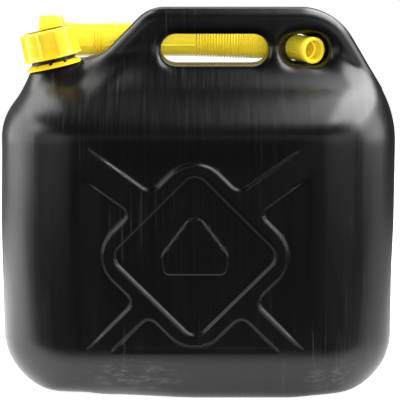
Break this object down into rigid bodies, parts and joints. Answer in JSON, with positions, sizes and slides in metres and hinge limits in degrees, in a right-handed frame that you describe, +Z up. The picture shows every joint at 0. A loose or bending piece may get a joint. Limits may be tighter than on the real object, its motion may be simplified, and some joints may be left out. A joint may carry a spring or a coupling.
{
  "type": "plastic fuel can",
  "caption": "Rounded plastic fuel can with a carrying handle, a leaning screw-capped neck and a flexible pouring spout stored in a hole beside the handle.",
  "frame": {"origin": "centre of the base, on the surface the can stands on", "axes": "+X along the can's width, away from the filler neck; +Y to the back, where the spout is stored; +Z up"},
  "size_m": [0.32, 0.15, 0.3115],
  "materials": {
    "can_plastic": "satin black polyethylene",
    "ring_plastic": "glossy yellow",
    "cap_plastic": "glossy yellow",
    "gasket_rubber": "matt black",
    "spout_plastic": "glossy yellow",
    "hose_plastic": "soft glossy yellow",
    "nozzle_plastic": "glossy yellow",
    "nut_plastic": "glossy yellow",
    "washer_rubber": "matt black"
  },
  "bodies": {
    "can": {"can_body": "can_plastic"},
    "ring": {"neck_ring": "ring_plastic"},
    "seal": {"cap_gasket": "gasket_rubber"},
    "cap": {"cap_shell": "cap_plastic"},
    "spout": {"spout_tube": "spout_plastic", "spout_hose": "hose_plastic", "nut_washer": "washer_rubber"},
    "nozzle": {"spout_nozzle": "nozzle_plastic"},
    "nut": {"spout_nut": "nut_plastic"}
  },
  "joints": [
    {"name": "cap_lift", "type": "slide", "parent": "can", "child": "seal", "axis": [-0.2164, 0, 0.9763], "range_m": [0, 0.025]},
    {"name": "cap_turn", "type": "hinge", "parent": "seal", "child": "cap", "pos_m": [-0.1159, 0, 0.2634], "axis": [-0.2164, 0, 0.9763], "range_deg": [0, 1800]},
    {"name": "ring_turn", "type": "hinge", "parent": "can", "child": "ring", "pos_m": [-0.1159, 0, 0.2634], "axis": [-0.2164, 0, 0.9763], "continuous": true},
    {"name": "spout_pull", "type": "slide", "parent": "can", "child": "spout", "axis": [-0.4992, 0.8657, 0.0361], "range_m": [0, 0.12]},
    {"name": "spout_bend", "type": "hinge", "parent": "spout", "child": "nozzle", "pos_m": [0.0584, 0.046, 0.28], "axis": [0.0382, -0.0196, 0.9991], "range_deg": [0, 59.98], "deforming": ["spout_hose"]},
    {"name": "nut_turn", "type": "hinge", "parent": "spout", "child": "nut", "pos_m": [-0.122, 0.046, 0.2823], "axis": [1, 0, 0], "continuous": true}
  ],
  "couplings": [
    {"joint": "cap_lift", "follows": "cap_turn", "m_per_rad": 0.00079577},
    {"joint": "spout_bend", "follows": "spout_pull", "rad_per_m": 8.7243}
  ]
}
